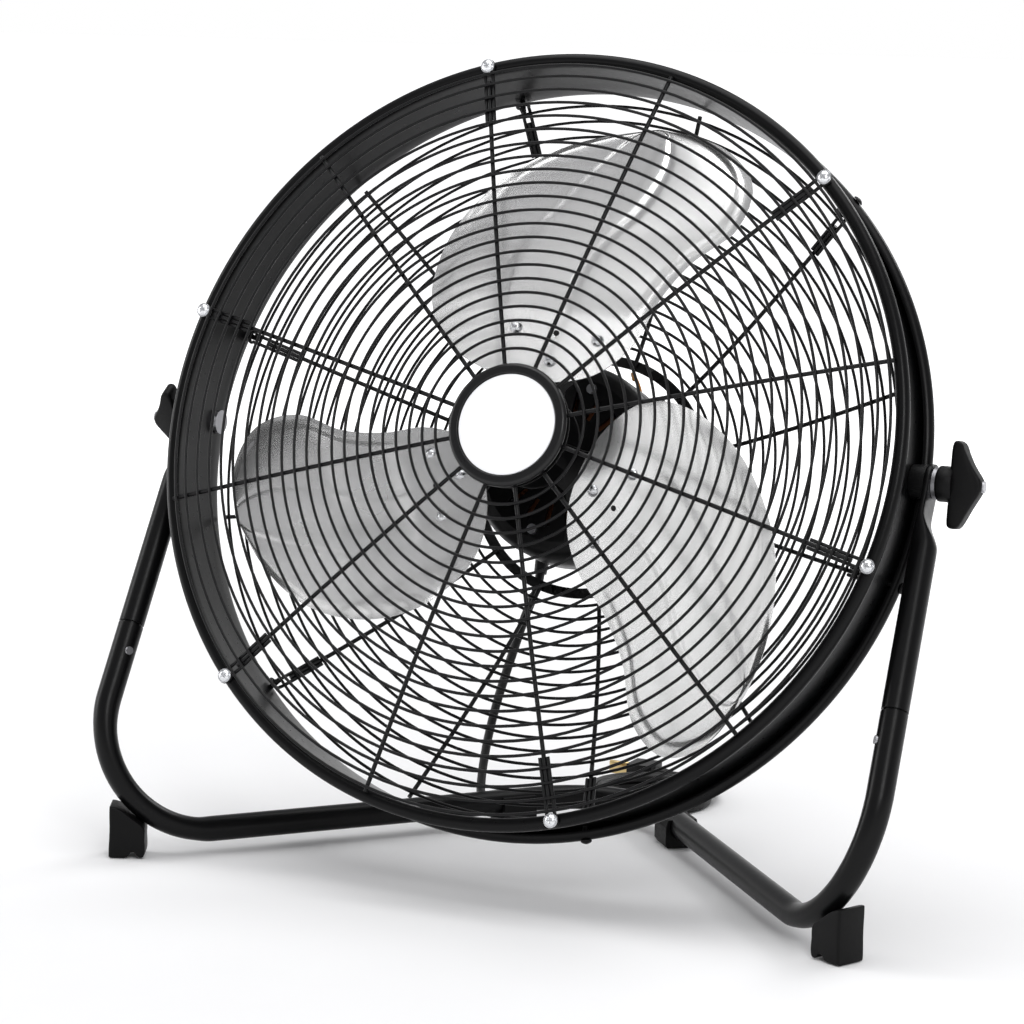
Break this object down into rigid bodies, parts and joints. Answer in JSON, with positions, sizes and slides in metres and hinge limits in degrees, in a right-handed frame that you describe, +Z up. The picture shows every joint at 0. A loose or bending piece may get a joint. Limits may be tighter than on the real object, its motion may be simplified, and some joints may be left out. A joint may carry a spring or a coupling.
{
  "type": "drum floor fan",
  "caption": "Wire-guarded metal drum fan with three broad paddle blades, hung on clamp knobs between the raked legs of a bent tube floor stand.",
  "frame": {"origin": "on the floor, under the middle of the fan without its cord", "axes": "+X to the right as seen from the front, +Y to the rear, +Z up; the fan blows towards -Y"},
  "size_m": [0.6546, 0.4525, 0.595],
  "materials": {
    "black_paint": "gloss powder coat",
    "black_wire": "satin powder coat",
    "black_plastic": "matte",
    "white_badge": "gloss",
    "blade_aluminium": "satin",
    "bright_steel": "zinc plated",
    "core_steel": "laminated",
    "winding": "enamelled wire",
    "bush_brass": "plain",
    "orange_lead": "matte",
    "cord_jacket": "matte",
    "capacitor_case": "matte",
    "pin_brass": "nickel free"
  },
  "bodies": {
    "stand": {"base_tube": "black_paint", "left_leg_tube": "black_paint", "right_leg_tube": "black_paint", "foot_front_left": "black_plastic", "foot_front_right": "black_plastic", "foot_rear_left": "black_plastic", "foot_rear_right": "black_plastic", "power_cord": "cord_jacket", "cord_coil": "cord_jacket", "cord_tail": "cord_jacket", "plug_body": "black_plastic", "plug_pins": "pin_brass"},
    "head": {"drum_shell": "black_paint", "front_guard_rings": "black_wire", "front_guard_spokes": "black_wire", "hub_cap": "black_plastic", "hub_badge": "white_badge", "hub_back_plate": "black_paint", "hub_plate_screws": "bright_steel", "front_screws": "bright_steel", "front_washers": "bright_steel", "rear_guard_rings": "black_wire", "rear_guard_spokes": "black_wire", "rear_motor_plate": "black_paint", "rear_screws": "black_paint", "motor_front_bell": "black_paint", "motor_rear_bell": "black_paint", "motor_screws": "bright_steel", "stator_core": "core_steel", "stator_winding": "winding", "front_bush": "bush_brass", "rear_bush": "bush_brass", "motor_lead_orange": "orange_lead", "motor_lead_black": "cord_jacket", "switch_box": "black_plastic", "switch_box_cover": "black_plastic", "cover_screws": "bright_steel", "rotary_switch": "black_plastic", "run_capacitor": "capacitor_case", "strain_relief": "black_plastic", "left_pivot_bolt": "bright_steel", "right_pivot_bolt": "bright_steel", "left_spacer": "black_plastic", "right_spacer": "black_plastic", "left_pivot_washer": "bright_steel", "right_pivot_washer": "bright_steel"},
    "fan": {"motor_shaft": "bright_steel", "rotor_core": "core_steel", "blade_spider": "black_paint", "blade_1": "blade_aluminium", "blade_2": "blade_aluminium", "blade_3": "blade_aluminium", "blade_rivets": "bright_steel", "hub_set_screw": "bright_steel"},
    "left_button": {"left_snap_button": "bright_steel"},
    "right_button": {"right_snap_button": "bright_steel"},
    "speed_dial": {"speed_knob": "black_plastic"},
    "left_knob": {"left_clamp_knob": "black_plastic"},
    "right_knob": {"right_clamp_knob": "black_plastic"}
  },
  "joints": [
    {"name": "head_tilt", "type": "hinge", "parent": "stand", "child": "head", "pos_m": [0, -0.00779, 0.31], "axis": [1, 0, 0], "range_deg": [-70, 30], "deforming": ["power_cord"]},
    {"name": "fan_spin", "type": "hinge", "parent": "head", "child": "fan", "pos_m": [0, -0.00779, 0.31], "axis": [0, -0.9421, 0.3355], "continuous": true},
    {"name": "speed_turn", "type": "hinge", "parent": "head", "child": "speed_dial", "pos_m": [0, 0.11319, 0.27117], "axis": [0, -0.9421, 0.3355], "range_deg": [0, 135]},
    {"name": "right_knob_turn", "type": "hinge", "parent": "head", "child": "right_knob", "pos_m": [0.31, -0.00779, 0.31], "axis": [1, 0, 0], "range_deg": [0, 270]},
    {"name": "left_knob_turn", "type": "hinge", "parent": "head", "child": "left_knob", "pos_m": [-0.31, -0.00779, 0.31], "axis": [1, 0, 0], "range_deg": [-270, 0]},
    {"name": "right_button_press", "type": "slide", "parent": "stand", "child": "right_button", "axis": [0.8395, 0.4814, -0.252], "range_m": [0, 0.0035], "stiffness_N_per_m": 300, "springref_m": -0.002},
    {"name": "left_button_press", "type": "slide", "parent": "stand", "child": "left_button", "axis": [-0.8395, 0.4814, -0.252], "range_m": [0, 0.0035], "stiffness_N_per_m": 300, "springref_m": -0.002}
  ]
}
